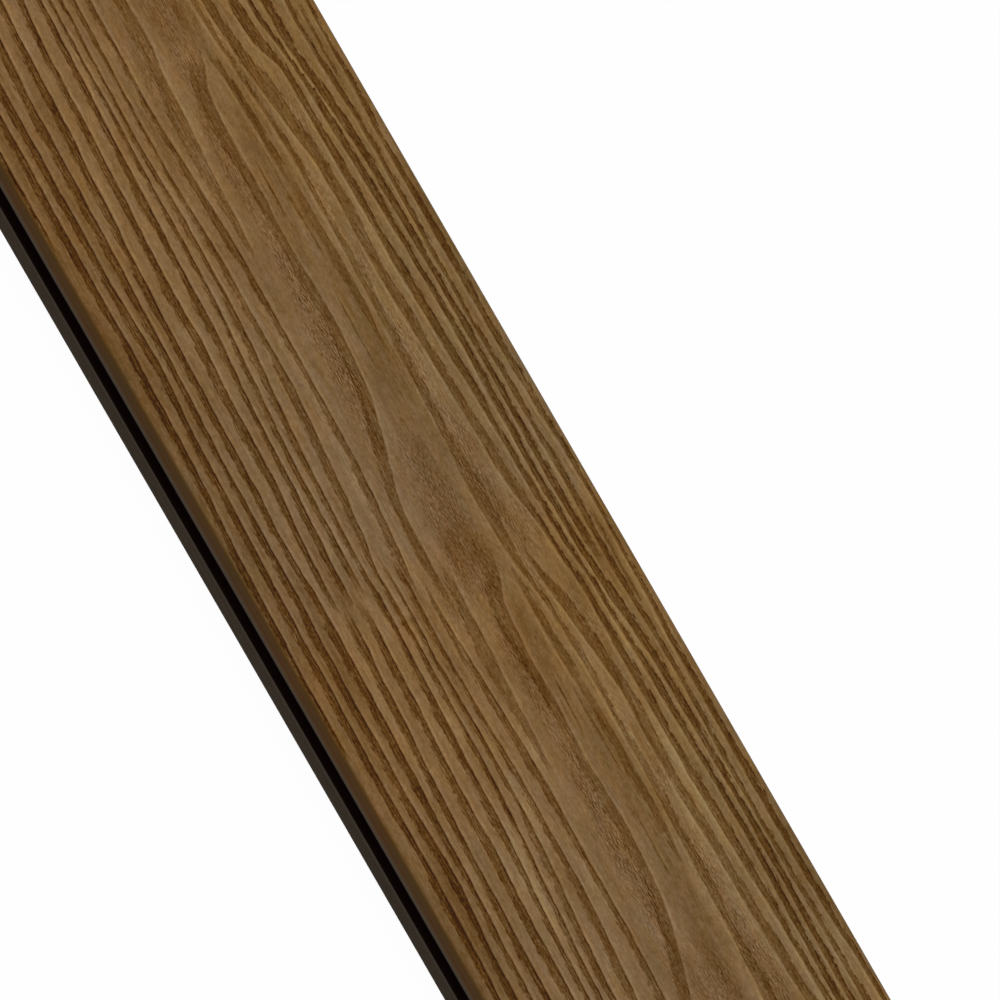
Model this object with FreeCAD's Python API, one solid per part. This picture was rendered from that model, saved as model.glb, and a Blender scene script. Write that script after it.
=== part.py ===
import FreeCAD, Part
import math
import os

# Grooved composite decking board: one extruded plank, laid flat with its grained face up.
# X runs along the board, Y across it and Z up. The origin is the middle of the underside.
# Millimetres throughout.

# Stock size
length = 2400.0
width = 140.0
thickness = 25.0

# Long edges, from the underside up: a lower lip, the groove for a hidden clip, an upper lip
lower_lip = 7.8
groove_height = 7.5
groove_depth = 10.0

# Rounding of the section's corners
top_edge_radius = 3.0
foot_radius = 0.8
mouth_radius = 0.5
root_radius = 1.5


def half_section():
    """Corners (y, z, radius) of the right half of the section, from the underside up to the top."""
    edge = width / 2
    root = edge - groove_depth
    groove_roof = lower_lip + groove_height
    return [
        (edge, 0.0, foot_radius),
        (edge, lower_lip, mouth_radius),
        (root, lower_lip, root_radius),
        (root, groove_roof, root_radius),
        (edge, groove_roof, mouth_radius),
        (edge, thickness, top_edge_radius),
    ]


def mirrored(corners):
    """The same corners on the other side of the board, in the order that closes the outline."""
    return [(-y, z, radius) for y, z, radius in reversed(corners)]


def rounded_corner(before, corner, after):
    """Start, middle and end of the arc that rounds one corner of an outline."""
    y, z, radius = corner
    point = FreeCAD.Vector(0, y, z)
    back = (FreeCAD.Vector(0, *before[:2]) - point).normalize()
    ahead = (FreeCAD.Vector(0, *after[:2]) - point).normalize()
    half_angle = back.getAngle(ahead) / 2
    reach = radius / math.tan(half_angle)
    bisector = (back + ahead).normalize()
    nearest = radius / math.sin(half_angle) - radius
    return point + back * reach, point + bisector * nearest, point + ahead * reach


def outline(corners):
    """A closed wire in the YZ plane with every corner rounded by its own radius."""
    count = len(corners)
    arcs = [
        rounded_corner(corners[i - 1], corners[i], corners[(i + 1) % count])
        for i in range(count)
    ]
    edges = []
    for i, (start, middle, end) in enumerate(arcs):
        edges.append(Part.Arc(start, middle, end).toShape())
        next_start = arcs[(i + 1) % count][0]
        edges.append(Part.LineSegment(end, next_start).toShape())
    return Part.Wire(edges)


def board():
    """The whole board: its section pushed along X, sawn square at both ends."""
    right = half_section()
    section = Part.Face(outline(right + mirrored(right)))
    section.translate(FreeCAD.Vector(-length / 2, 0, 0))
    return section.extrude(FreeCAD.Vector(length, 0, 0))


os.makedirs("parts", exist_ok=True)
plank = board()
plank.exportStep("parts/board.step")
box = plank.BoundBox
print("board", round(box.XLength, 2), round(box.YLength, 2), round(box.ZLength, 2), "mm")
print("volume", round(plank.Volume / 1e6, 3), "litres, valid", plank.isValid())
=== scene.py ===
# %% [markdown]
# # A grooved decking board
# The real object is one length of composite decking, 2.4 m long, 140 mm wide and 25 mm thick. It is
# pushed through a die in one piece, so its section is the same all along, and a roller then presses a
# wood grain into its brown cap. The two long edges are grooved for hidden clips.
#
# A board this plain could be one stretched cube. Here its section is swept along its length, so that
# every rounded edge is real, and its grain is drawn as lines that run along the mesh. Sizes are in
# millimetres, and become metres where a mesh is made.

# %% The frame
import math

import bpy
import numpy as np
from mathutils import Matrix, Vector


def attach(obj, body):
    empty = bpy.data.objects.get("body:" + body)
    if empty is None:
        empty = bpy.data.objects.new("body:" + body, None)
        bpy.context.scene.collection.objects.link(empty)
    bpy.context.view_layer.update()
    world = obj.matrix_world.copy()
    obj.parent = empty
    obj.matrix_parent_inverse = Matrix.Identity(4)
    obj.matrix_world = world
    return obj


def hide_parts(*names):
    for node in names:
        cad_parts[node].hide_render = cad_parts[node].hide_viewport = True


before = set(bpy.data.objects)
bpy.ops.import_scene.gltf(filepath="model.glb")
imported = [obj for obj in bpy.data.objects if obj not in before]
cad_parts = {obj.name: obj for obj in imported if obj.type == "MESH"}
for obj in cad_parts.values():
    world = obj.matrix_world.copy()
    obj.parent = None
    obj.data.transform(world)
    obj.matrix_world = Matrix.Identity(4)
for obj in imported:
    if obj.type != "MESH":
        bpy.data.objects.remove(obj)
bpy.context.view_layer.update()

# %% [markdown]
# ## The camera
# The board crosses the picture at a slant and shows its top and one grooved edge. A camera could be
# placed by hand and turned until it looks right. Here its three axes are worked out instead: the
# board's length runs 60 degrees below the picture's right-hand side, and the view comes from 61 degrees
# above the floor. A long lens far away keeps the long sides parallel, as they are in the picture.

# %% Camera
tilt = math.radians(29.1)
slant = math.radians(60)
along = Vector((1, 0, 0))
across = Vector((0, math.cos(tilt), math.sin(tilt)))
back = along.cross(across)
right = along * math.cos(slant) + across * math.sin(slant)
up = across * math.cos(slant) - along * math.sin(slant)

camera_data = bpy.data.cameras.new("camera")
camera_data.lens = 1500
camera_data.sensor_width = 36
camera_data.clip_end = 200
camera = bpy.data.objects.new("camera", camera_data)
bpy.context.collection.objects.link(camera)
picture_width = 0.3451
distance = picture_width * camera_data.lens / camera_data.sensor_width
aim = Vector((0, 0.03375, 0.025))
turn = Matrix((right, up, back)).transposed().to_4x4()
camera.matrix_world = Matrix.Translation(aim + back * distance) @ turn
bpy.context.scene.camera = camera
print("camera", round(distance, 2), "m away")

# %% [markdown]
# ## Nodes as expressions
# A material's sums could be wired up one Math node at a time, which hides what they say. One small
# class wraps a socket instead and gives it Python's own operators, so a mask reads like a formula. One
# function makes every other node: first its settings, then its sockets.


# %% Node helper
def socket_of(sockets, name):
    """The socket with this number, or the one in use with this name."""
    if isinstance(name, int):
        return sockets[name]
    return next(s for s in sockets if s.name == name and s.enabled)


def node(tree, kind, settings=None, sockets=None):
    """A new node: its settings first, then each socket's value or link."""
    made = tree.nodes.new(kind)
    for name, value in (settings or {}).items():
        setattr(made, name, value)
    for name, value in (sockets or {}).items():
        socket = socket_of(made.inputs, name)
        if isinstance(value, Value):
            value = value.socket
        if isinstance(value, bpy.types.NodeSocket):
            tree.links.new(value, socket)
        else:
            socket.default_value = value
    return made


# %% Number class
class Value:
    """One number that changes over a surface: a socket with Python's operators."""

    def __init__(self, tree, socket):
        self.tree = tree
        self.socket = socket

    def math(self, operation, first, second=0.0):
        sockets = {0: first, 1: second}
        made = node(self.tree, "ShaderNodeMath", {"operation": operation}, sockets)
        return Value(self.tree, made.outputs[0])

    def __add__(self, other):
        return self.math("ADD", self, other)

    def __sub__(self, other):
        return self.math("SUBTRACT", self, other)

    def __rsub__(self, other):
        return self.math("SUBTRACT", other, self)

    def __mul__(self, other):
        return self.math("MULTIPLY", self, other)

    def __truediv__(self, other):
        return self.math("DIVIDE", self, other)

    def __gt__(self, other):
        return self.math("GREATER_THAN", self, other)

    def __abs__(self):
        return self.math("ABSOLUTE", self)

    __radd__ = __add__
    __rmul__ = __mul__

    def over(self, other):
        """The larger of the two."""
        return self.math("MAXIMUM", self, other)

    def under(self, other):
        """The smaller of the two."""
        return self.math("MINIMUM", self, other)

    def rise(self, low, high):
        """0 below low, 1 above high, and a smooth rise between them."""
        settings = {"interpolation_type": "SMOOTHSTEP"}
        sockets = {"Value": self, "From Min": low, "From Max": high}
        return Value(self.tree, node(self.tree, "ShaderNodeMapRange", settings, sockets).outputs[0])

    def between(self, low, high, soft):
        """1 between low and high, fading to 0 over soft at either end."""
        return self.rise(low - soft, low + soft) * (1 - self.rise(high - soft, high + soft))


print("node helpers ready")

# %% [markdown]
# ## Noise and colour helpers
# Wood and extruded plastic both vary far more across their length than along it. So each noise here is
# stretched: it takes the size of its patches in millimetres along X and across Y. Colours are written
# as a paint chart gives them, from 0 to 255, and are turned into the linear numbers that shaders use.


# %% Noise and colour helpers
def linear(red, green, blue):
    """A colour written as 0 to 255, as the linear colour a shader takes."""
    shares = [c / 255 for c in (red, green, blue)]
    return [c / 12.92 if c <= 0.04045 else ((c + 0.055) / 1.055) ** 2.4 for c in shares] + [1.0]


class Finish:
    """A material being built, with the board's coordinates in millimetres."""

    def __init__(self, name):
        self.material = bpy.data.materials.new(name)
        self.material.use_nodes = True
        self.tree = self.material.node_tree
        self.shader = self.tree.nodes["Principled BSDF"]
        metres = node(self.tree, "ShaderNodeTexCoord").outputs["Object"]
        self.place = self.vector("SCALE", {0: metres, "Scale": 1000.0})
        self.x, self.y, self.z = self.split(self.place)

    def vector(self, operation, sockets):
        """The result of one Vector Math node."""
        return node(self.tree, "ShaderNodeVectorMath", {"operation": operation}, sockets).outputs[0]

    def split(self, vector):
        """The three numbers of a vector."""
        parts = node(self.tree, "ShaderNodeSeparateXYZ", None, {0: vector})
        return [Value(self.tree, socket) for socket in parts.outputs]

    def join(self, x, y, z):
        """Three numbers as one vector or colour."""
        return node(self.tree, "ShaderNodeCombineXYZ", None, {0: x, 1: y, 2: z}).outputs[0]

    def attribute(self, name):
        """The three numbers that the mesh keeps under a name."""
        made = node(self.tree, "ShaderNodeAttribute", {"attribute_name": name})
        return self.split(made.outputs["Vector"])

    def noise(self, sizes, detail=1.0, shift=0.0):
        """Noise from about -1 to 1 whose patches are sizes millimetres along x, y and z."""
        stretch = ([1 / size for size in sizes] + [0.0])[:3]
        place = self.vector("MULTIPLY_ADD", {0: self.place, 1: stretch, 2: [shift] * 3})
        settings = {"noise_dimensions": "2D" if len(sizes) == 2 else "3D"}
        sockets = {"Vector": place, "Scale": 1.0, "Detail": detail, "Roughness": 0.55}
        made = node(self.tree, "ShaderNodeTexNoise", settings, sockets)
        return Value(self.tree, made.outputs[0]) * 4 - 2

    def sway(self, amount):
        """Bend what is drawn from here on sideways, by so many millimetres across the board."""
        self.place = self.vector("ADD", {0: self.place, 1: self.join(0.0, amount, 0.0)})

    def blend(self, share, first, second):
        """The first colour where share is 0 and the second where it is 1."""
        sockets = {"Factor": share, "A": first, "B": second}
        made = node(self.tree, "ShaderNodeMix", {"data_type": "RGBA"}, sockets)
        return socket_of(made.outputs, "Result")

    def ramp(self, value, stops):
        """A colour that follows value through the stops, each (place, colour)."""
        made = node(self.tree, "ShaderNodeValToRGB", None, {0: value})
        elements = made.color_ramp.elements
        for place, colour in stops[1:-1]:
            elements.new(place).color = colour
        elements[0].position, elements[0].color = stops[0]
        elements[-1].position, elements[-1].color = stops[-1]
        return made.outputs[0]

    def done(self, colour, roughness, height, relief):
        """The material, with its colour, its roughness and a relief of so many metres."""
        sockets = {"Height": height, "Distance": relief, "Strength": 1.0}
        bump = node(self.tree, "ShaderNodeBump", None, sockets)
        self.tree.links.new(bump.outputs[0], self.shader.inputs["Normal"])
        self.tree.links.new(colour, self.shader.inputs["Base Color"])
        self.shader.inputs["Roughness"].default_value = roughness
        self.shader.inputs["Specular IOR Level"].default_value = 0.07
        print(self.material.name, "of", len(self.tree.nodes), "nodes")
        return self.material


print("black", linear(0, 0, 0)[:3], "white", linear(255, 255, 255)[:3])

# %% [markdown]
# ## The board's section
# The die that the board is pushed through has one outline: a flat underside, a lower lip, the groove, an
# upper lip and the flat top, with every corner rounded by its own radius. The same corners and radii are
# in the solid model. The outline could be drawn as a curve and filleted. Walking round it in short steps
# gives more control: the top is cut into many narrow strips, which carry the grain, and the rest into few.

# %% Sizes
half_length = 1200.0
half_width = 70.0
thickness = 25.0
lower_lip = 7.8
groove_root = 60.0
upper_lip_foot = 15.3
cap_foot = 16.7
lip_middle = 19.4
foot_radius = 0.8
top_radius = 3.0
top_strips = 160
under_strips = 8

# Each corner of the right half, from the underside up: y, z, its radius and the steps of its arc
corners = [
    (half_width, 0.0, foot_radius, 4),
    (half_width, lower_lip, 0.5, 2),
    (groove_root, lower_lip, 1.5, 3),
    (groove_root, upper_lip_foot, 1.5, 3),
    (half_width, upper_lip_foot, 0.5, 2),
    (half_width, thickness, top_radius, 7),
]
print(len(corners), "corners in each half")


# %% Section
def arc(before, corner, after):
    """The points of the arc that rounds one corner, which is always a right angle."""
    y, z, radius, steps = corner
    point = np.array((y, z))
    start = point + np.sign(np.array(before[:2]) - point) * radius
    end = point + np.sign(np.array(after[:2]) - point) * radius
    centre = start + end - point
    turn = np.linspace(0, math.pi / 2, steps + 1)
    return [centre + (start - centre) * math.cos(a) + (end - centre) * math.sin(a) for a in turn]


def section():
    """The outline as points (y, z), from the right foot up and round to the left one."""
    ring = [(0.0, 0.0)] + corners + [(0.0, thickness)]
    half = []
    for before, corner, after in zip(ring, ring[1:], ring[2:]):
        half += arc(before, corner, after)
        if corner[:2] == (half_width, upper_lip_foot):
            half += [np.array((half_width, z)) for z in (cap_foot, lip_middle)]
    top = half[-1][0]
    crown = [np.array((y, thickness)) for y in np.linspace(top, -top, top_strips + 1)[1:-1]]
    foot = half_width - foot_radius
    under = [np.array((y, 0.0)) for y in np.linspace(-foot, foot, under_strips + 1)[1:-1]]
    left = [np.array((-y, z)) for y, z in reversed(half)]
    return half + crown + left + under


outline = section()
print("section of", len(outline), "points,", round(outline[0][0], 1), "mm at the foot")

# %% [markdown]
# ## The lines of the grain
# The roller's pattern is a flat-sawn plank: long dark bands of late wood that run almost along the board,
# close together near the edges and wide apart round a pale wedge in the middle. Every band has one crisp
# side and one ragged side. Below the wedge the crisp side is the upper one, above it the lower one.
#
# Rings cut out of distorted noise would look like wood, but not like this plank. So the bands are listed
# one by one, as a wood carver would mark them out: each row is a place along the print, the height of the
# band's crisp side across the board, and how wide the band is there, all in millimetres. Where one print
# follows another, some bands start out a little differently, so as to meet the ones before the join.

# %% Bands below the wedge, crisp side up
lower_bands = {
    "a": [(-245, 4, 3), (-216, 4.2, 4.2), (-205, 4.6, 4.9), (-195, 4.1, 5.1), (-190, 3.2, 4.7),
        (-185, 2.4, 4.2), (-180, 2, 3.8), (-170, 1.6, 6.2), (-160, 0.9, 5.9), (-150, 0, 4.8),
        (-140, -0.6, 4.1), (-130, -0.8, 3.2), (-120, -1.5, 2), (-110, -2, 1.5)],
    "z": [(-192, 20.6, 2), (-185.5, 19.7, 5), (-179.5, 17.9, 7.5), (-173.5, 14.9, 5.8), (-167.5, 13.8, 5),
        (-160, 13.5, 4.8), (-150, 12.9, 4), (-140, 13.1, 3.8), (-130, 12.9, 3.6), (-120, 12.1, 3),
        (-110, 11.8, 3.4), (-100, 12.4, 3.8), (-90, 12.7, 4), (-80, 12.6, 4.2), (-70, 11.7, 4.2),
        (-60, 10.8, 4.4), (-50, 9.2, 4.6), (-45, 7.6, 4.8), (-40, 6.2, 4.8), (-35, 4.7, 5), (-30, 3.2, 5),
        (-25, 1.3, 4.5), (-20, -0.2, 4), (-15, -1.5, 3.1), (-10, -1.8, 3.2), (0, -2.2, 3.6),
        (5, -2.4, 3.8), (14, -2.8, 3.2), (32, -3.2, 2.2)],
    "b": [(-245, -7.6, 2), (-220, -7.9, 1.9), (-198, -8.15, 1.6), (-190, -8.5, 1.4), (-175, -8.8, 1.5),
        (-160, -8, 2.5), (-150, -7.6, 2.4), (-130, -6.7, 3.1), (-120, -6.3, 3.4), (-110, -6.4, 2.4),
        (-90, -6.9, 2), (-70, -7.1, 2.1), (-50, -7.3, 2.4), (-40, -7.7, 2.7), (-30, -8.1, 3.1),
        (-20, -9, 3.2), (-10, -10, 3.3), (-5, -10.5, 3.8), (0, -11, 2.8), (6.5, -11.9, 1.6),
        (16, -12.9, 0.8)],
    "c": [(-245, -12, 1.2), (-223, -13, 1.4), (-210, -13.4, 1.9), (-198, -13.9, 1.1), (-190, -14.3, 1),
        (-170, -14.9, 1.4), (-160, -15.1, 1.3), (-140, -14.7, 1.6), (-122, -13.9, 2.3), (-110, -14.2, 2),
        (-90, -14.5, 2.2), (-80, -14.4, 2.6), (-70, -14.6, 3.6), (-60, -15.3, 3.1), (-50, -16.3, 3),
        (-40, -17.1, 3.3), (-30, -18, 3.2), (-20, -19.1, 3.1), (-12, -20.1, 2.5), (-5, -21.7, 2),
        (0, -22.5, 1.5), (6.5, -22.3, 1.2)],
    "d": [(-245, -16, 1.3), (-225, -17.4, 1.3), (-210, -18, 1.2), (-198, -18.7, 0.9), (-180, -19, 1),
        (-170, -19.7, 1.2), (-160, -19.2, 1.7), (-140, -18.8, 2.1), (-120, -19.2, 1.5),
        (-110, -19.3, 1.2), (-100, -19.8, 2.9), (-90, -20.4, 2.8), (-80, -21.4, 2.9), (-70, -22.5, 2.8),
        (-60, -23.5, 2.4), (-50, -24.3, 2.5), (-40, -25, 2.2), (-20, -26.1, 1.9), (0, -26.7, 1.8),
        (6.5, -26.5, 1.9)],
    "e": [(-245, -20, 1.3), (-227, -21.2, 1.3), (-210, -21.8, 1.4), (-198, -22.4, 1.1),
        (-190, -22.2, 1.4), (-180, -22.3, 1.6), (-170, -22.7, 1.6), (-150, -23.3, 1.5),
        (-130, -23.3, 2.1), (-120, -23.8, 1.7), (-110, -24.2, 1.7), (-98, -25.2, 1), (-90, -26, 2),
        (-80, -26.7, 1.8), (-70, -27.4, 1.9), (-60, -28.5, 1.9), (-50, -29.1, 2.1), (-40, -29.6, 2.1),
        (-20, -30.2, 2.3), (-10, -30.5, 2.7), (0, -30.9, 2.3), (7, -31, 2)],
    "f": [(-245, -22.4, 1.3), (-238, -23.4, 1.8), (-229, -24.6, 2), (-210, -25.6, 2.1),
        (-198, -26.3, 2.2), (-190, -26.4, 2.6), (-180, -27.1, 1.7), (-160, -27.8, 2.8),
        (-150, -28.3, 3.6), (-140, -28.7, 2.7), (-130, -29.3, 2.4), (-120, -29.6, 2.1),
        (-110, -29.8, 3.7), (-100, -30.2, 2.8), (-90, -31.1, 2.2), (-75, -32.5, 2), (-60, -33.4, 1.7),
        (-50, -33.8, 2.1), (-40, -34.3, 1.7), (-30, -35, 3), (-20, -35.6, 2.7), (-10, -36.6, 2.2),
        (0, -36.9, 2.1), (8, -37.3, 2)],
    "g": [(-245, -29.3, 2.3), (-232, -30.7, 2.3), (-225, -31.9, 2.4), (-210, -33, 2.1),
        (-198, -33.4, 2.6), (-190, -33.7, 1.9), (-180, -34.2, 2.5), (-160, -35, 3.3), (-150, -35.5, 2.6),
        (-140, -36.4, 2.1), (-120, -37.1, 3.8), (-110, -37.2, 3.4), (-100, -36.9, 3.5), (-90, -37.7, 3.5),
        (-80, -38.4, 3), (-70, -38.8, 3.7), (-50, -39.2, 3.5), (-40, -39.8, 2.9), (-30, -41.3, 2.4),
        (-20, -42.5, 2.1), (-10, -42.8, 2.3), (0, -43.2, 2.2), (8, -43.4, 2)],
    "h": [(-245, -37.5, 2), (-230, -38.8, 2.1), (-210, -39.7, 3), (-198, -40.3, 3), (-180, -40.9, 3.4),
        (-170, -42.4, 2.4), (-160, -42.3, 3.3), (-150, -43, 2.6), (-140, -44.1, 2.3), (-120, -44.9, 2.8),
        (-100, -46, 2), (-90, -46.3, 2.5), (-70, -46.9, 2.9), (-50, -47.5, 2.3), (-40, -47.7, 2.9),
        (-30, -48.7, 2.1), (-20, -48.7, 2.1), (0, -48, 2.6), (6.5, -48.1, 2.8)],
    "i": [(-245, -45, 3), (-220, -46.5, 3.3), (-198, -48.2, 3), (-190, -48.3, 3.5), (-170, -48.9, 2.8),
        (-160, -49.2, 3.4), (-140, -49.8, 3.2), (-120, -50.8, 2.7), (-100, -51.3, 2.5), (-90, -51.8, 2),
        (-80, -52.2, 2.6), (-70, -53, 1.8), (-50, -53.7, 1.7), (-40, -53.9, 1.7), (-30, -54.1, 2.8),
        (0, -54.5, 2.8), (6.5, -55, 3)],
    "j": [(-245, -54.6, 3), (-198, -55.2, 3.1), (-180, -55.5, 3), (-170, -56.1, 2.9), (-150, -56.1, 2.7),
        (-130, -56.8, 2.5), (-120, -56.3, 3.3), (-100, -55.8, 3), (-90, -56.4, 2.9), (-80, -57.4, 2.2),
        (-70, -58.4, 2), (-60, -58.5, 2.7), (-40, -59.3, 2.7), (-20, -60.1, 2.6), (-10, -60.6, 2.4),
        (0, -60.7, 2.9), (6.5, -61.1, 2.4)],
    "k": [(-245, -61, 2.3), (-198, -61.2, 2.3), (-190, -61.2, 2.8), (-170, -61.7, 2.9), (-150, -62.3, 3),
        (-130, -62.6, 2.7), (-110, -62.6, 2.2), (-90, -63.3, 3.1), (-70, -63.9, 2.5), (-60, -64.4, 2.6),
        (-50, -65.1, 2.4), (-30, -66.6, 2.2), (-20, -66.8, 2.2), (-10, -67.4, 1.8), (6.5, -67.9, 1.6)],
    "l": [(-245, -67.5, 1.2), (-198, -67.9, 1.2), (-180, -68.4, 1.1), (-165, -68.4, 1),
        (-150, -68.6, 0.8)],
    "m": [(-140, 21.8, 0.5), (-120, 21.9, 0.7), (-96, 21.7, 0.5)],
    "n": [(-92, 18.3, 0.5), (-75, 18.1, 0.8), (-60, 17.8, 0.5)],
    "o": [(-146, 17.2, 0.5), (-133, 17, 0.7), (-120, 16.8, 0.5)],
    "w": [(-138, 26.4, 2.4), (-120, 26.8, 3.2), (-110, 26.7, 3), (-100, 26.9, 4), (-90, 26.8, 3.2),
        (-80, 26.4, 2.4), (-75, 25.8, 2.1), (-70, 25.2, 1.8), (-63, 24.8, 1.6)],
}
print(len(lower_bands), "bands below the wedge")

# %% Bands above the wedge, crisp side down
upper_bands = {
    "one": [(-245, 66, 1.3), (-198, 66, 1.4), (-180, 66, 1), (-170, 65.5, 1), (-150, 65.3, 1.5),
        (-130, 64.3, 1.7), (-100, 64.3, 2), (-90, 64.1, 2.5), (-60, 64.1, 2.2), (-40, 64.1, 2.3),
        (-30, 64.5, 2.3), (-20, 64.6, 2), (-10, 65.5, 1.6), (0, 65.8, 1.8), (6.5, 66, 1.5)],
    "two": [(-188, 62.1, 0.8), (-180, 62.1, 0.9), (-160, 61.6, 0.9), (-147, 61.5, 0.6)],
    "three": [(-245, 59.6, 2), (-198, 59.6, 2.3), (-190, 59.6, 2.3), (-183, 58.3, 1.2), (-170, 58.4, 1.3),
        (-160, 58.7, 1.6), (-150, 59.2, 1.8), (-140, 60, 1.7), (-120, 60.1, 1.6), (-100, 59.6, 1.7),
        (-90, 59.2, 1.4), (-60, 59.2, 1.4), (-30, 59.5, 1.8), (-10, 59.5, 1.8), (6.5, 59.6, 2.2)],
    "four": [(-245, 50.6, 3), (-198, 50.4, 2.6), (-185, 50.5, 3.3), (-175, 50.5, 2.9), (-165, 51.5, 2.1),
        (-160, 51.7, 3.3), (-150, 53, 3.3), (-143, 53.9, 2.5), (-135, 54.2, 3), (-130, 55, 2.2),
        (-110, 55.1, 2.7), (-90, 55.5, 2.1), (-70, 55.8, 1.7), (-60, 55.5, 2.3), (-40, 55.5, 2.1),
        (-20, 55, 2.1), (0, 54.6, 2.1), (10, 54.6, 2.2), (20, 54.8, 2.4), (30, 55, 2.4), (40, 55.4, 1.6)],
    "five": [(-245, 46.2, 2.4), (-198, 46.4, 2.2), (-195, 45.8, 1.6), (-185, 46, 1.6), (-180, 46.8, 1.4),
        (-170, 48.4, 1.3), (-160, 49.2, 1.8), (-140, 49.5, 2.9), (-130, 50.3, 2.3), (-120, 50.4, 2.8),
        (-100, 51.1, 1.8), (-80, 51.6, 1.7), (-60, 51.8, 2), (-50, 51.6, 2), (-30, 50.8, 2.4),
        (-20, 50.9, 2), (0, 50.3, 2.1), (6.5, 50.4, 2.5)],
    "six": [(-245, 41, 2.7), (-235, 40, 2.9), (-198, 39.6, 3.2), (-190, 38.7, 4.3), (-180, 39.7, 4.5),
        (-177, 40.3, 4.2), (-173, 42, 3), (-169, 44.2, 1.8), (-160, 44.5, 2.3), (-140, 44.4, 2.5),
        (-120, 44.5, 2.9), (-100, 44.5, 1.8), (-90, 44.2, 3.2), (-70, 44.8, 3.1), (-50, 45.3, 2.9),
        (-40, 45.8, 2.6), (-30, 46.3, 2.4), (-25, 46.3, 1.4), (-20, 46.4, 1.6), (0, 46.6, 2.2),
        (6.5, 46.4, 2.2)],
    "seven": [(-245, 30, 3.4), (-198, 30.3, 3.6), (-190, 30.8, 2.9), (-180, 31.3, 3.7), (-175, 31.6, 3.9),
        (-170, 32.4, 5), (-165, 32.9, 5.5), (-160, 33.7, 4.7), (-150, 34.7, 4.3), (-145, 35.6, 4.4),
        (-140, 36.3, 4.2), (-130, 37.6, 3.4), (-110, 37.3, 4), (-90, 36.8, 2.9), (-80, 36.9, 3.6),
        (-60, 37.8, 3), (-30, 38.5, 3.3), (-10, 38.9, 3.6), (0, 39.8, 3.3), (6.5, 41, 2.7)],
    "eight": [(-245, 26.4, 2), (-198, 26.4, 2), (-185, 27.3, 1.4), (-172, 28.2, 1.5), (-160, 29.4, 1.1),
        (-140, 30.3, 2.3), (-130, 30.3, 1.8), (-120, 29.9, 1.1), (-100, 29.8, 2.3), (-90, 29.2, 3.4),
        (-80, 28.7, 2.3), (-70, 28.4, 2.9), (-50, 27.6, 3.7), (-40, 27.4, 2.3), (-30, 26.8, 2.7),
        (-20, 26.2, 3.8), (-10, 25.3, 4.7), (0, 25.2, 5), (6.5, 25.6, 4)],
    "nine": [(-190, 20, 1), (-188, 20.5, 1), (-180, 21.8, 1.9), (-170, 23.2, 2.1), (-160, 23.2, 2.7),
        (-150, 23.3, 2.7), (-140, 23.5, 2.8), (-128, 24, 2)],
}
print(len(upper_bands), "bands above the wedge")

# %% Bands just after a join
after_join = {
    "three": [(-198, 59.6, 2), (-190, 59.4, 2), (-180, 59, 2), (-165, 58.9, 2), (-155, 59.2, 2)],
    "four": [(-198, 50.7, 1.8), (-188, 50.9, 1.9), (-178, 51, 2.2), (-170, 51.6, 2.3), (-164, 52.2, 2.6)],
    "five": [(-198, 46.9, 1.9), (-190, 46.9, 1.8), (-180, 47.5, 1.6), (-172, 48.4, 1.2),
        (-164, 49.4, 1.2), (-150, 49.4, 1.6), (-140, 49.7, 1.5), (-134, 50, 2.3)],
    "six": [(-198, 41.4, 2.2), (-191, 42.4, 1.6), (-184, 43.1, 1.2), (-177, 43.6, 1.3), (-170, 44.3, 1.4),
        (-164, 45, 1.6), (-156, 44.8, 2.1)],
    "seven": [(-184, 31.6, 0.8), (-179, 31.9, 1.6), (-173, 32.4, 2.6), (-167, 33.2, 4), (-160, 34, 4.3),
        (-150, 35.2, 4), (-145, 35.9, 4)],
    "eight": [(-198, 25.6, 4), (-190, 25.7, 3.4), (-182, 26.3, 2.4), (-175, 27.5, 1.7),
        (-168, 28.6, 1.5)],
    "nine": [(-184, 23.8, 0.5), (-181, 23.8, 0.6), (-176, 23.6, 1.8), (-170, 23.3, 2.2)],
    "a": [(-198, 2.6, 2), (-190, 2.2, 3), (-184, 1.8, 3.4), (-175, 1.4, 4.4), (-165, 1, 5.4)],
    "b": [(-198, -8.3, 1.2), (-185, -8.7, 1.2), (-175, -8.6, 2), (-165, -8, 2.9), (-156, -7.6, 2.8)],
    "c": [(-210, -14.1, 0.8), (-200, -13.9, 1.6), (-190, -14.2, 1.8), (-180, -14.5, 1.7),
        (-165, -14.9, 1.8)],
    "d": [(-210, -19.1, 0.6), (-202, -18.8, 0.8), (-192, -18.6, 1), (-180, -19, 1.3), (-168, -19.5, 1.6)],
    "e": [(-198, -22.2, 1.6), (-180, -22.3, 1.7), (-165, -22.7, 1.8)],
}
print(len(after_join), "bands start differently after a join")

# %% [markdown]
# ## The brown cap
# The cap is a coloured skin of plastic with a matte, slightly waxy face. Its grain is a print of real
# wood: a pale ground that drifts between pinkish brown and olive, dark bands with a near-black line along
# the crisp side and frayed fibres along the other, and short dark pores among them. That dark line is
# partly painted shade, where a band's upper wall is in shade, and above the wedge it runs along the ragged
# side. A painted highlight lies just outside each crisp side and beside each pore. An image could hold
# all of that. Here one number, the tone, adds it up from the mesh's own figures, and a single colour ramp
# turns the tone into wood. That keeps every mark the same family of browns.
#
# The tone counts from 0 to 255, as a paint chart does. So the factor beside each figure is the number of
# steps by which that figure, from 0 to 1 or from -1 to 1, makes the wood darker or paler.

# %% What the mesh says, and the pores
finish = Finish("brown capping")
inside, width_here, strength = finish.attribute("grain")
crispness, fleck, browning = finish.attribute("figure")
warm, cool = finish.attribute("hue")[:2]
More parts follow.
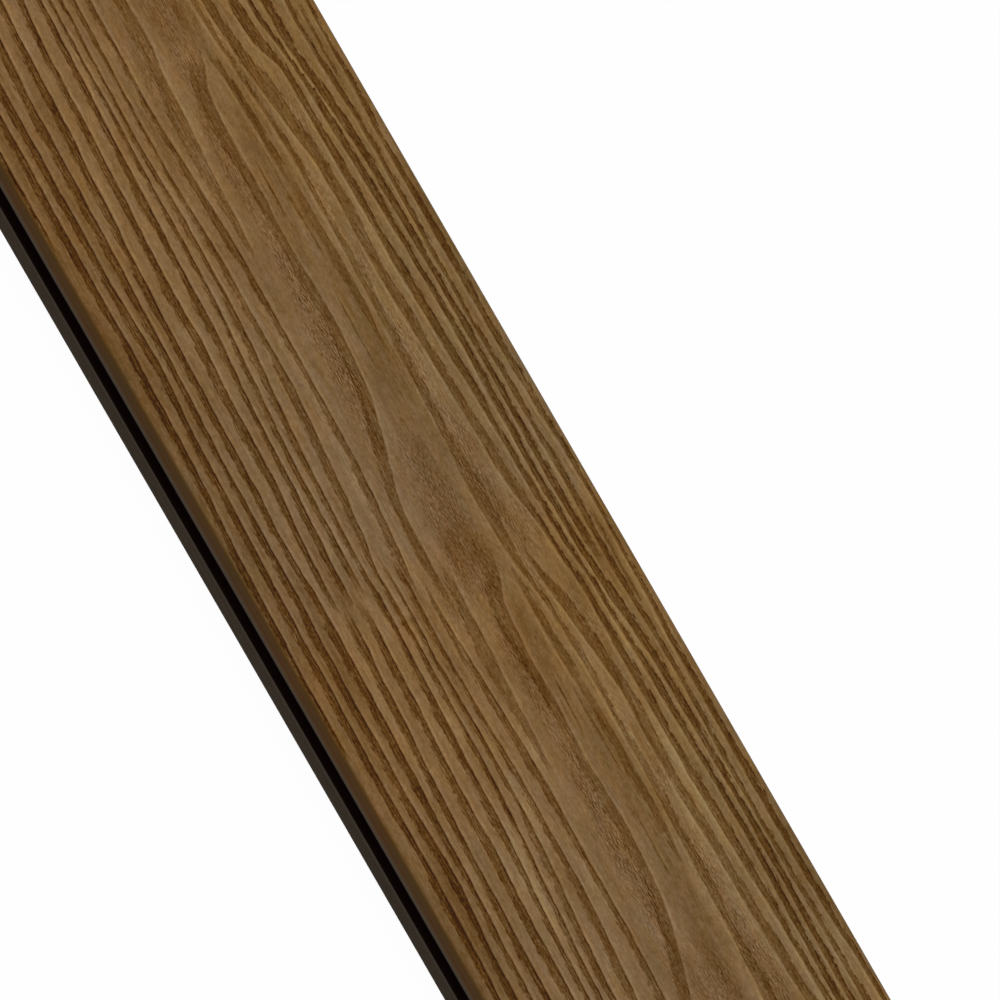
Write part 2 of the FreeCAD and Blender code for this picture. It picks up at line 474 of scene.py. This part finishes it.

# A pore is a dark pit, partly painted shade, and the same pits read a little to the side give it a painted
# highlight along one edge
pore = (2.8, 0.42)
pits = finish.noise(pore, 0.0, 15.0)
finish.sway(pore[1])
highlight_pits = finish.noise(pore, 0.0, 15.0)
finish.sway(-pore[1])
cluster = finish.noise((7, 2.4), 1.0, 57.0).rise(-0.6, 0.1) * fleck
dark_pores = pits.rise(0.04, 0.42) * cluster
pore_highlights = highlight_pits.rise(0.1, 0.5) * cluster
print("pores of", pore, "mm")

# %% Fibres and drifts
sway = finish.noise((8, 4), 2.0) * 0.18
finish.sway(sway)
wander = finish.noise((8, 2.4), 2.0)
hair = finish.noise((1.5, 0.42), 2.0, 31.0)
streak = finish.noise((11, 0.6), 2.0, 7.0)
slow = finish.noise((45, 7), 2.0, 3.0)
wisp = abs(finish.noise((12, 0.8), 1.0, 77.0))
mottle = finish.noise((3.2, 1.5), 2.0, 63.0)
grit = finish.noise((1.4, 0.6), 2.0, 91.0)
fibre = finish.noise((9, 0.4), 1.0, 23.0)
blush = finish.noise((16, 3), 2.0, 41.0)
chill = finish.noise((13, 3), 2.0, 71.0)
print("from hairs of 1.5 mm to drifts of 45 mm")

# %% The dark bands, in millimetres from the crisp side
depth = inside - sway + wander * 0.08 + hair * 0.08
frayed = depth + hair * 0.2 + fibre * 0.25 + streak * 0.4 + mottle * 0.22
past_ragged_side = frayed - width_here
in_band = depth.rise(-0.12, 0.2) * (1 - past_ragged_side.rise(-0.4, 0.35)) * strength
# The dark line is the print's dark edge and, on a band's upper wall, painted shade: below the wedge it
# runs along the crisp side, above it along the ragged side
near_line = depth.between(0.0, 0.55, 0.13) * crispness.over(0.0)
painted_shade_line = past_ragged_side.between(-0.6, 0.1, 0.22) * (0 - crispness).over(0.0)
dark_edge_and_shade = (near_line + painted_shade_line) * strength
# Painted highlight: a pale line just outside the crisp side, where a band's wall would catch the light
painted_highlight = depth.between(-1.15, -0.25, 0.22) * strength * (1.2 - abs(crispness) * 0.4)
filament = (1 - wisp.rise(0.0, 0.22)) * in_band
print("bands drawn, with", len(finish.tree.nodes), "nodes so far")

# %% Tone
rough_here = 6 + in_band * 9 + fleck * 7
tone = 95.5 + slow * 9.5 + streak * 6 + hair * 3 + mottle * 6.5 + wander * 2 + grit * rough_here
tone = tone - browning * 14 - in_band * (27 - streak * 9 - fibre * 9 - hair * 3)
tone = tone - dark_edge_and_shade * (20 - hair * 8 - mottle * 4)
# The painted highlights beside the bands and the pores lighten the tone
tone = tone + painted_highlight * 10 - filament * 18 - dark_pores * 21 + pore_highlights * 13
tone = tone - finish.y.rise(66.5, 68.0) * 7
# Painted shade: on the rounded edge and the upper lip's side the grain gives way to a dark brown tone, a
# little paler towards the top
painted_shade_side = abs(finish.y).rise(68.8, 69.8)
tone = tone * (1 - painted_shade_side) + painted_shade_side * (47 + finish.z.rise(21.5, 24.0) * 5 + slow * 2 + streak * 1.5)
darkest = 25
palest = 125
shade = (tone - darkest) / (palest - darkest)
print("tones from", darkest, "to", palest)

# %% [markdown]
# ## From tone to brown
# The browns run from umber to a sandy tan. The rounded edge and the upper lip below it are smoother and
# painted darker, as painted shade, a little paler towards the top, and greyer at the lip's foot. On
# top, one brown for each tone would look like a stain, while real wood blushes red and cools to olive
# within a hand's width. So two more noises, and the hue that the mesh carries, tint red and blue by a
# few per cent. Green stays as it is, so a tint hardly makes the wood darker or paler.

# %% Colour of the cap
stops = [
    (0.0, linear(54, 24, 0)),
    (0.25, linear(84, 50, 0)),
    (0.5, linear(105, 75, 38)),
    (0.75, linear(130, 100, 66)),
    (1.0, linear(154, 126, 88)),
]
brown_wood = finish.ramp(shade, stops)
# Part of the same painted shade: the upper part of the rounded edge is blended towards an olive brown
brown_wood = finish.blend(painted_shade_side * finish.z.rise(19.5, 22.5) * 0.6, brown_wood, linear(83, 62, 34))
lip_foot = (1 - finish.z.rise(16.2, 20.0)) * 0.85
brown_wood = finish.blend(lip_foot * painted_shade_side, brown_wood, linear(85, 74, 59))
red = 0.982 + (warm + fleck * 0.5 + blush * 1.5) * 0.034
blue = 0.915 + (cool + fleck * 0.4 + chill * 1.4 - blush * 0.9) * 0.075
tinted = finish.vector("MULTIPLY", {0: brown_wood, 1: finish.join(red, 0.987, blue)})
relief = streak * 0.12 + hair * 0.1 - in_band * 0.6 - dark_edge_and_shade * 0.4 - dark_pores * 0.5
cap_material = finish.done(tinted, 0.62, relief, 0.00012)

# %% [markdown]
# ## The bare core
# Under the cap the board is a blend of wood flour and plastic, dark grey-brown and slightly mottled, with
# faint lines drawn along it by the die. It shows on the lower lips, in the grooves and underneath. Deep
# in the grooves, and on the foot of the upper lip, it is painted nearly black as painted shade. The two
# corners at the groove's mouth carry a thin painted highlight.

# %% Core
finish = Finish("bare core")
mottle = finish.noise((3, 1.6, 1.6), 3.0)
drawn = finish.noise((160, 0.9, 0.9), 2.0, 9.0)
flour = finish.noise((0.9, 0.5, 0.5), 1.0, 4.0)
tone = 0.45 + mottle * 0.12 + drawn * 0.2 + flour * 0.16
bare = finish.ramp(tone, [(0.0, linear(50, 41, 31)), (0.5, linear(65, 54, 42)), (1.0, linear(84, 71, 57))])
# Painted shade: the inside of the groove and the foot of the upper lip are blended towards near-black
painted_groove_shade = (69.6 - abs(finish.y)).rise(0.0, 0.3) * finish.z.between(7.6, 15.6, 0.12)
painted_groove_shade = painted_groove_shade.over(finish.z.between(14.0, 16.05, 0.16))
core_with_painted_light = finish.blend(painted_groove_shade, bare, linear(27, 10, 5))
# Painted highlight: a thin paler line on the lower lip's top corner and just above the groove's roof
painted_edge_highlight = finish.z.between(7.35, 7.9, 0.15) * abs(finish.y).rise(69.45, 69.6)
painted_edge_highlight = painted_edge_highlight * 0.8 + finish.z.between(16.3, 17.0, 0.1) * 0.45
core_with_painted_light = finish.blend(painted_edge_highlight, core_with_painted_light, linear(84, 75, 64))
core_material = finish.done(core_with_painted_light, 0.7, drawn * 0.5 + flour * 0.3, 0.0001)

# %% [markdown]
# ## The sawn ends
# The photograph cuts both ends off, so they are plain: a square cut across the board, where the saw's
# teeth leave fine upright marks in the core and the cap shows as a thin brown line along the top.

# %% Ends
finish = Finish("sawn end")
chips = finish.noise((1.4, 1.2, 1.2), 3.0, 2.0)
teeth = finish.noise((5, 0.5, 14), 1.0, 6.0)
tone = 0.5 + chips * 0.2 + teeth * 0.12
cut = finish.ramp(tone, [(0.0, linear(60, 48, 36)), (0.5, linear(80, 66, 51)), (1.0, linear(104, 88, 70))])
out_y = (abs(finish.y) - (half_width - top_radius)).over(0.0)
out_z = (finish.z - (thickness - top_radius)).over(0.0)
skin = (out_y * out_y + out_z * out_z + chips * 0.12).rise(3.7, 4.4)
skin = skin * finish.z.rise(16.5, 16.9)
cut = finish.blend(skin, cut, linear(92, 66, 36))
ends_material = finish.done(cut, 0.8, chips * 0.6 + teeth * 0.4, 0.00015)

# %% [markdown]
# ## How the print repeats
# The roller goes round once every 204 mm, so the real board shows the same plank again and again, end to
# end, with a join where one print meets the next. The print in the middle of the board is the longest: it
# shows 252 mm of the plank, and each of the others shows the last 204 mm of it. Some bands carry straight
# on over a join, and the others fade out before it or in after it. A band is laid out here once for each
# print on the board, with a strength that falls to nothing where it fades.

# %% Where the bands fade
joint = 6.5
repeat = 204.0
whole_length = 252.0
print_start = joint - repeat
long_start = joint - whole_length
near_join = 14.0

# Where a band fades in and out on each print
late = {"m": (-140, -132), "n": (-92, -84), "o": (-146, -138), "a": (-197.5, -186), "b": (-196, -184),
        "c": (-209, -196), "d": (-209, -193), "g": (-196, -186), "h": (-198, -188),
        "seven": (-188, -176), "z": (-191, -181), "two": (-188, -183), "nine": (-184, -178),
        "w": (-138, -116)}
early = {"m": (-106, -96), "n": (-68, -60), "o": (-128, -120), "a": (-120, -110), "z": (6, 30),
         "b": (3, 16), "e": (-4, 7), "f": (-2, 8), "g": (-2, 8), "l": (-162, -150), "w": (-68, -62),
         "two": (-152, -147), "four": (24, 40), "nine": (-142, -124)}
# Where it fades in on the longest print, and out on the print before that one
first_rise = {"a": (-245, -226), "b": (-245, -232), "d": (-242, -228), "e": (-245, -236),
              "g": (-244, -238), "i": (-245, -239), "seven": (-243, -229)}
last_fall = {"z": (-16, 4), "d": (-10, 5), "h": (-18, -2), "e": (-8, 6.5), "g": (-3, 6.5),
             "four": (-14, 3), "seven": (-1, 6.5)}
print("joins every", repeat, "mm,", len(late), "bands fade in and", len(early), "fade out")

# %% How each band looks
# How black its line of print and painted shade is: from 1, along the crisp side, to -1, along the ragged
# side
blackness = {"a": 0.25, "z": 0.3, "w": 0.4, "two": -0.4, "nine": -0.4, "one": -0.7, "three": -0.8,
             "four": -0.9, "five": -0.9, "six": -0.7, "seven": -0.4, "eight": -0.4}
# Millimetres that it lies further up the board than it was marked out
lift = {"f": 0.4, "g": 0.4, "h": 0.4, "i": 0.4, "j": 0.4, "k": 0.4, "one": -0.2, "three": -0.2,
        "four": -0.2, "five": -0.2, "six": -0.2}
# How dark it is, and how deep it is pressed
deep = {"a": 0.7, "z": 0.75, "b": 0.9, "c": 0.9, "d": 0.95, "e": 1.0, "seven": 0.85, "eight": 0.72,
        "w": 0.54, "one": 1.0, "two": 0.7, "three": 0.95, "six": 1.05, "nine": 0.8, "m": 0.45,
        "n": 0.45, "o": 0.6}
# What the other bands take. The lift is for those below the wedge, and all those above it are wider
plain_blackness = 1.0
plain_depth = 1.15
plain_lift = 0.2
more_width = 0.2
print("darkest band", plain_depth, "faintest", min(deep.values()))


# %% Runs
def share(x, low, high):
    """0 below low, 1 above high and a straight rise between them."""
    return np.clip((x - low) / (high - low), 0, 1)


def run(name, rows, side, shift, rings):
    """One band in one print: its crisp side, width and strength at every ring, and where it holds."""
    longest = shift == 0
    if name in after_join and not longest:
        opening = after_join[name]
        rows = opening + [row for row in rows if row[0] > opening[-1][0]]
    at, height, width = [np.array(column, float) for column in zip(*rows)]
    x = rings - shift
    begins = (print_start, print_start)
    if longest:
        begins = first_rise.get(name, (long_start, long_start))
    if name in late and not (longest and at[0] < print_start):
        begins = late[name]
    ends = early.get(name, (joint, joint))
    if shift == -whole_length and ends[1] > joint - near_join:
        ends = last_fall.get(name, (joint, joint))
    force = np.ones(len(x))
    if begins[1] > begins[0]:
        force = share(x, *begins)
    if ends[1] > ends[0]:
        force = force * (1 - share(x, *ends))
    start = begins[0] if longest else max(begins[0], at[0])
    return {
        "crisp": np.interp(x, at, height) + lift.get(name, plain_lift if side > 0 else 0),
        "width": np.interp(x, at, width) + (more_width if side < 0 else 0),
        "force": force * deep.get(name, plain_depth),
        "holds": (start + shift, ends[1] + shift),
        "side": side,
        "edge": blackness.get(name, plain_blackness),
    }


step = 6.0
ring_count = 402
rings = joint + step * (np.arange(ring_count) - ring_count / 2 - 1)
rings = np.clip(rings, -half_length, half_length)
prints_before = math.ceil((half_length + long_start) / repeat)
prints_after = math.ceil((half_length - joint) / repeat)
shifts = [-whole_length - repeat * k for k in range(prints_before)]
shifts += [repeat * k for k in range(prints_after + 1)]
runs = []
for shift in shifts:
    for bands, side in ((lower_bands, 1.0), (upper_bands, -1.0)):
        runs += [run(name, rows, side, shift, rings) for name, rows in bands.items()]
print(len(runs), "runs over", len(shifts), "prints and", len(rings), "rings")

# %% [markdown]
# ## Sweeping the section
# An extruded board is the plainest case of a shape that follows a rule: one outline, pushed along a
# line. Extruding it by hand would do, but a Geometry Nodes tree keeps the rule in sight, with the length
# and the spacing of the rings as named inputs. The rings stand 6 mm apart and one always falls on a join
# of the print, so no cell of the mesh belongs to two prints.


# %% Tree helpers
def new_tree(name, inputs):
    """An empty Geometry Nodes tree with these named inputs, and the nodes at its two ends."""
    tree = bpy.data.node_groups.new(name, "GeometryNodeTree")
    tree.interface.new_socket("Geometry", in_out="INPUT", socket_type="NodeSocketGeometry")
    tree.interface.new_socket("Geometry", in_out="OUTPUT", socket_type="NodeSocketGeometry")
    for title, kind in inputs.items():
        tree.interface.new_socket(title, in_out="INPUT", socket_type="NodeSocket" + kind)
    return tree, tree.nodes.new("NodeGroupInput").outputs, tree.nodes.new("NodeGroupOutput").inputs


def geometry(tree, kind, sockets):
    """The geometry that a new node makes."""
    return node(tree, "GeometryNode" + kind, None, sockets).outputs[0]


def through(piece, tree, values):
    """The mesh that the tree makes of a piece, with its named inputs set to values."""
    modifier = piece.modifiers.new(tree.name, "NODES")
    modifier.node_group = tree
    for item in tree.interface.items_tree:
        if item.in_out == "INPUT" and item.name in values:
            modifier[item.identifier] = values[item.name]
    bpy.context.view_layer.update()
    drawn = piece.evaluated_get(bpy.context.evaluated_depsgraph_get())
    made = bpy.data.meshes.new_from_object(drawn)
    piece.modifiers.remove(modifier)
    return made


print("tree helpers ready")

# %% Sweep tree
inputs = {"Half length": "Float", "Ring spacing": "Float", "Join": "Float", "Rings": "Int",
          "Material": "Material"}
sweep, given, result = new_tree("sweep along the board", inputs)
index = Value(sweep, node(sweep, "GeometryNodeInputIndex").outputs[0])
count = Value(sweep, given["Rings"])
limit = Value(sweep, given["Half length"])
place = (index - count / 2 - 1) * Value(sweep, given["Ring spacing"]) + Value(sweep, given["Join"])
place = place.under(limit).over(0 - limit)
spot = node(sweep, "ShaderNodeCombineXYZ", None, {0: place}).outputs[0]
rail = geometry(sweep, "CurvePrimitiveLine", {})
rail = geometry(sweep, "ResampleCurve", {"Curve": rail, "Count": given["Rings"]})
rail = geometry(sweep, "SetPosition", {"Geometry": rail, "Position": spot})
profile = geometry(sweep, "MeshToCurve", {"Mesh": given["Geometry"]})
body = geometry(sweep, "CurveToMesh", {"Curve": rail, "Profile Curve": profile, "Fill Caps": True})
body = geometry(sweep, "RealizeInstances", {"Geometry": body})
body = geometry(sweep, "SetMaterial", {"Geometry": body, "Material": given["Material"]})
sweep.links.new(body, result[0])
print("sweep tree of", len(sweep.nodes), "nodes")

# %% Swept board
# The sweep turns its profile half round, so the outline goes in turned the other way
wire = bpy.data.meshes.new("section")
flat = [(-y / 1000, -z / 1000, 0) for y, z in outline]
wire.from_pydata(flat, [(i, (i + 1) % len(flat)) for i in range(len(flat))], [])
pattern = bpy.data.objects.new("section", wire)
bpy.context.collection.objects.link(pattern)
values = {
    "Half length": half_length / 1000,
    "Ring spacing": step / 1000,
    "Join": joint / 1000,
    "Rings": ring_count,
    "Material": cap_material,
}
blank = through(pattern, sweep, values)
bpy.data.objects.remove(pattern)
board = bpy.data.objects.new("board_grained", blank)
bpy.context.collection.objects.link(board)
print("swept board:", len(blank.vertices), "points,", len(blank.polygons), "faces")
print("reaches", [round(max(v.co[i] for v in blank.vertices), 4) for i in range(3)])

# %% [markdown]
# ## Giving every corner of the mesh its place in the grain
# The bands could be painted into an image, but a 2.4 m board would need a very large one. The mesh can
# carry them instead. Every corner of every cell on top stores how far it lies inside the nearest band,
# measured from that band's crisp side, with how wide and how strong the band is there. Between corners
# those numbers change evenly, so the shader can draw an edge much finer than the cells. All four corners
# of a cell use the same band, and bands change over in the pale wood between them, where nothing shows.


# %% Mesh as arrays
def read(rows, name, kind, size):
    """One figure of each point, corner or face of a mesh, size numbers to a row."""
    values = np.zeros(len(rows) * size, kind)
    rows.foreach_get(name, values)
    return values.reshape(-1, size) if size > 1 else values


points = read(blank.vertices, "co", float, 3) * 1000
at = read(blank.loops, "vertex_index", int, 1)
middle = read(blank.polygons, "center", float, 3) * 1000
normal = read(blank.polygons, "normal", float, 3)
face = np.repeat(np.arange(len(middle)), read(blank.polygons, "loop_total", int, 1))
on_top = (normal[:, 2] > 0.2) & (middle[:, 2] > thickness - top_radius)
print("cells on top:", int(on_top.sum()), "facing down:", int((normal[:, 2] < -0.5).sum()))

# %% Nearest band
crisp, width, force, side, edge, holds = [
    np.array([r[key] for r in runs]) for key in ("crisp", "width", "force", "side", "edge", "holds")
]
centre = crisp - side[:, None] * width / 2
column = np.clip(np.searchsorted(rings, middle[:, 0], "right") - 1, 0, ring_count - 2)
band_of = np.zeros(len(middle), int)
for k in range(ring_count - 1):
    here = rings[k : k + 2].mean()
    live = np.flatnonzero((holds[:, 0] < here) & (here < holds[:, 1]))
    live = live[np.argsort(centre[live, k])]
    top = np.where(side[live] > 0, crisp[live, k], crisp[live, k] + width[live, k])
    low = np.where(side[live] > 0, crisp[live, k] - width[live, k], crisp[live, k])
    border = (top[:-1] + low[1:]) / 2
    cells = np.flatnonzero(on_top & (column == k))
    band_of[cells] = live[np.searchsorted(border, middle[cells, 1])]
print("bands used:", len(np.unique(band_of[on_top])))

# %% [markdown]
# ## Flecked and browner patches
# Between its bands the wood isn't even. Here and there it is flecked with pores, or browner, or paler. A
# cloud of noise would put such patches anywhere, but on the real print they sit where the tree grew them,
# as in the heart of the wedge. So each is listed one by one as an oval: its middle along and across the
# print, its reach each way, how flecked it is, and how much browner, or paler where that is below 0.

# %% Patches
patches = [
    (-8, 13, 34, 9, 0.9, 0.9), (12, 12, 18, 10, 1, 0.6), (14, 8, 12, 4, 1, 0.25),
    (14, 48, 16, 4, 0, -0.45), (10, 60, 24, 4, 0, -0.4), (-122, 24, 14, 3, 0, 0.45),
    (-204, 15.5, 16, 7, 0.9, 0.9), (-216, -12, 12, 4, 0, 0.4), (-92, 36, 14, 3, 0, 0.35),
    (-30, 0, 16, 3, 0.3, 0.4), (-62, -66, 20, 4, 0, 0.4), (12, -66, 14, 4, 0, 0.4),
    (10, 33, 16, 4, 1, 0.35), (12, 38.5, 14, 3.5, 0.8, 0.6), (-197, 22, 13, 4, 0.3, 0.6),
    (-105, 35.5, 12, 3.5, 0.2, 0.9), (-154, -12, 14, 4, 0, 0.4), (-71, 4.5, 30, 4.5, 1.2, 0.25),
    (-140, 7.5, 36, 3.4, 1, 0.3), (-100, 6.5, 22, 3.5, 1.35, 0.35), (-72, 6, 24, 4, 1.35, 0.2),
    (-50, 2.5, 14, 3.5, 1, 0.3), (-186, -3, 14, 3.5, 0.7, 0.2), (-184, 13, 12, 5, 0.8, 0),
    (-150, 8, 22, 5, 0, 0.5), (-26, 24, 14, 3, 0.2, 0.4), (-178, 30.5, 14, 2.5, 0.8, 0.1),
    (-150, 40.5, 14, 2.5, 0.8, 0.1), (-120, 32.5, 16, 2.2, 0.8, 0.1), (-92, 34.2, 9, 1.8, 1, 0.1),
    (-62, 33, 17, 4, 1, 0.15), (-22, 33, 28, 4.6, 1, 0.25), (-46, 18, 24, 7, 0, 0.6),
    (-30, 29, 32, 3.5, 0.8, 0.1), (2, 31, 14, 4, 0.5, 0.5), (-30, 3.5, 18, 4, 0.3, 0.45),
    (-118, 21, 66, 8, 0, 0.75), (-158, 13, 26, 6, 0, 0.4), (-90, 41, 44, 5, 0, -0.5),
    (-100, 34.5, 60, 3.5, 0, -0.45), (-52, 36, 26, 3.5, 0, -0.4), (-162, 43, 12, 4, 0, 0.5),
    (-24, 60, 28, 3, 0, -0.4), (-188, -18, 42, 10, 0, 0.4), (-95, -12, 35, 4, 0, -0.2),
    (-80, -30, 26, 4, 0, -0.4), (4, -36, 14, 11, 0, 0.55), (-85, -62, 28, 7, 0, 0.5),
]
print(len(patches), "patches")


# %% Patchwork
patch_fade = 12.0


def whole_print(x, middle_x):
    """Where each place lies on the longest print, and where the print that it is on starts there."""
    after = np.maximum(np.ceil((middle_x - joint) / repeat), 0)
    before = np.maximum(np.ceil((long_start - middle_x) / repeat), 0)
    x = x - after * repeat + np.where(before > 0, whole_length + (before - 1) * repeat, 0)
    first = np.where(after + before > 0, print_start, long_start)
    return x, first


def patchwork(x, y, first):
    """How flecked and how brown the wood is at each place. Patches near a join reach over it."""
    flecks = np.zeros(len(x))
    brown = np.zeros(len(x))
    begun = share(x, first, first + patch_fade)
    for px, py, long, wide, fleck, tone in patches:
        for shift, force in ((0, begun), (joint - first, 1)):
            far = ((x + shift - px) / long) ** 2 + ((y - py) / wide) ** 2
            near = np.clip(1.5 - far * 1.3, 0, 1) * force
            flecks = np.maximum(flecks, near * fleck)
            brown = brown + near * tone
    # The wood is also made browner and darker towards both long edges, most towards the one at negative y
    towards_edges = share(-y, 38, 68) + 0.35 * share(y, 45, 68)
    return flecks, brown + towards_edges


printed_x, first = whole_print(points[at, 0], middle[face, 0])
flecks, brown = patchwork(printed_x, points[at, 1], first)
print("flecked share of the mesh:", round(float((flecks > 0.1).mean()), 2))

# %% [markdown]
# ## Hue along a print
# The pale ground also turns from a warm tan at a print's start to a cooler, greyer brown at its end, and
# jumps back at each join. The real print hides that jump by blending over the last few millimetres. A
# gradient texture would know nothing of the joins, so the corners carry this too, as two lines of places
# and amounts, one for red and one for blue.

# %% Hue
warm_along = [(-232, 1.2), (-140, 0.8), (-120, 0.5), (-96, -0.3), (-60, -0.65), (-40, -1), (-6, -0.9)]
cool_along = [(-232, -0.6), (-216, -0.75), (-165, -1.1), (-140, -0.85), (-96, 0.15), (-72, 0.35),
              (-45, 1.05), (-6, 1.35)]
start_hue = (1.1, -0.6)
end_hue = (-0.9, 1.35)
middle_of_print = -60


def hue(x, y, first):
    """How warm and how cool the wood is. Within 14 mm of a join it blends into the next print's hue."""
    own = share(x, first, first + near_join) * 0.5 + 0.5 - share(x, joint - near_join, joint) * 0.5
    at_end = x > middle_of_print
    warm = np.interp(x, *zip(*warm_along)) * own + (1 - own) * np.where(at_end, start_hue[0], end_hue[0])
    cool = np.interp(x, *zip(*cool_along)) * own + (1 - own) * np.where(at_end, start_hue[1], end_hue[1])
    # The far edge is less warm, and the wood beyond the wedge less cool
    warm = warm - 0.45 * share(y, 38, 48)
    cool = cool + 0.45 - 1.1 * share(y, 14, 26)
    return warm, cool


warmth, coolness = hue(printed_x, points[at, 1], first)
print("warmth", warmth.min().round(2), "to", warmth.max().round(2))

# %% Corner numbers
ring_of = np.clip(np.searchsorted(rings, points[at, 0] - 0.01), 0, ring_count - 1)
chosen = band_of[face]
within = side[chosen] * (crisp[chosen, ring_of] - points[at, 1])
wide = width[chosen, ring_of]
fade = share(half_width + 0.2 - np.abs(points[at, 1]), 0, 1.4) * on_top[face]
strong = force[chosen, ring_of] * fade
stored = {
    "grain": (within, wide, strong),
    "figure": (edge[chosen], flecks * fade, brown * fade),
    "hue": (warmth, coolness, np.zeros(len(at))),
}
for name, columns in stored.items():
    layer = blank.attributes.new(name, "FLOAT_VECTOR", "CORNER")
    layer.data.foreach_set("vector", np.stack(columns, 1).astype(np.float32).ravel())

crisp_slope = 0.6
ragged_slope = 1.2
dip = np.clip(np.minimum(within / crisp_slope, (wide - within) / ragged_slope), 0, 1) * strong
sunk = np.bincount(at, dip, len(points)) / np.bincount(at, minlength=len(points))
layer = blank.attributes.new("sunk", "FLOAT", "POINT")
layer.data.foreach_set("value", sunk.astype(np.float32))
print("share of the top inside a band:", round(float((sunk[points[:, 2] > 24.9] > 0.1).mean()), 2))

# %% [markdown]
# ## Pressing the grain in and sorting the finishes
# The roller leaves the dark bands a little lower than the pale wood. A displacement texture could do
# that, but the mesh already knows where each band is, so a second tree lowers those points by one named
# depth. The same tree gives each face its finish by where it lies: the cap covers the top and the upper
# lips, the sawn ends show the cut, and the bare core is everything else.

# %% Press and finish tree
inputs = {"Depth": "Float", "Cap foot": "Float", "Cap": "Material", "Core": "Material", "Ends": "Material"}
press, given, result = new_tree("press and finish", inputs)
sunk_in = node(press, "GeometryNodeInputNamedAttribute", {"data_type": "FLOAT"}, {"Name": "sunk"})
drop = Value(press, sunk_in.outputs[0]) * Value(press, given["Depth"])
fall = node(press, "ShaderNodeCombineXYZ", None, {2: 0 - drop}).outputs[0]
shape = geometry(press, "SetPosition", {"Geometry": given["Geometry"], "Offset": fall})
shape = geometry(press, "RealizeInstances", {"Geometry": shape})
spot = node(press, "GeometryNodeInputPosition").outputs[0]
spot = node(press, "ShaderNodeSeparateXYZ", None, {0: spot}).outputs
facing = node(press, "GeometryNodeInputNormal").outputs[0]
facing = node(press, "ShaderNodeSeparateXYZ", None, {0: facing}).outputs
below = Value(press, given["Cap foot"]) > Value(press, spot["Z"])
sawn = abs(Value(press, facing["X"])) > 0.9
for title, faces in (("Cap", True), ("Core", below), ("Ends", sawn)):
    sockets = {"Geometry": shape, "Selection": faces, "Material": given[title]}
    shape = geometry(press, "SetMaterial", sockets)
press.links.new(shape, result[0])
print("press tree of", len(press.nodes), "nodes")

# %% Pressed board
values = {
    "Depth": 0.00015,
    "Cap foot": cap_foot / 1000,
    "Cap": cap_material,
    "Core": core_material,
    "Ends": ends_material,
}
board.data = through(board, press, values)
board.data.name = "board_grained"
board.data.shade_smooth()
board.data.set_sharp_from_angle(angle=math.radians(50))
for number, material in enumerate(board.data.materials):
    print(material.name, sum(p.material_index == number for p in board.data.polygons), "faces")

# %% Into the frame
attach(board, "root")
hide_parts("board")
print("board carries", [m.name for m in board.data.materials])

# %% [markdown]
# ## Floor, light and background
# The board lies on a plain white floor under one broad lamp and an even sky. The lamp and the sky
# together give a surface that faces up exactly its own colour. What the camera sees of the floor is
# mixed with plain white, so the background is white and the board's faint shadow stays.

# %% Floor
half_floor = 15.0
floor_corners = [(x * half_floor, y * half_floor, 0) for x, y in ((-1, -1), (1, -1), (1, 1), (-1, 1))]
floor_mesh = bpy.data.meshes.new("floor")
floor_mesh.from_pydata(floor_corners, [], [(0, 1, 2, 3)])
floor = bpy.data.objects.new("floor", floor_mesh)
bpy.context.collection.objects.link(floor)
paint = bpy.data.materials.new("white floor")
paint.use_nodes = True
tree = paint.node_tree
tree.nodes.clear()
paths = node(tree, "ShaderNodeLightPath").outputs
seen = (Value(tree, paths["Is Camera Ray"]) + Value(tree, paths["Is Glossy Ray"])) * 0.97
matte = node(tree, "ShaderNodeBsdfDiffuse", None, {"Color": linear(225, 225, 225)}).outputs[0]
white = node(tree, "ShaderNodeEmission", None, {"Color": [1, 1, 1, 1], "Strength": 1.0}).outputs[0]
both = node(tree, "ShaderNodeMixShader", None, {0: seen, 1: matte, 2: white}).outputs[0]
node(tree, "ShaderNodeOutputMaterial", None, {0: both})
floor_mesh.materials.append(paint)
print("floor", half_floor * 2, "m wide")

# %% Sky and lamp
sky = bpy.data.worlds.new("sky")
sky.use_nodes = True
tree = sky.node_tree
tree.nodes.clear()
level = 0.42
direct = Value(tree, node(tree, "ShaderNodeLightPath").outputs["Is Camera Ray"])
strength = direct * (1 - level) + level
glow = node(tree, "ShaderNodeBackground", None, {"Color": [1, 1, 1, 1], "Strength": strength}).outputs[0]
node(tree, "ShaderNodeOutputWorld", None, {0: glow})
bpy.context.scene.world = sky

lamp_data = bpy.data.lights.new("lamp", "SUN")
lamp_data.energy = 1.85
lamp_data.angle = math.radians(35)
lamp = bpy.data.objects.new("lamp", lamp_data)
lamp.rotation_euler = (math.radians(-8), math.radians(5), 0)
bpy.context.collection.objects.link(lamp)
bpy.context.scene.view_settings.view_transform = "Standard"
print("light level", round(level + lamp_data.energy / math.pi, 3))
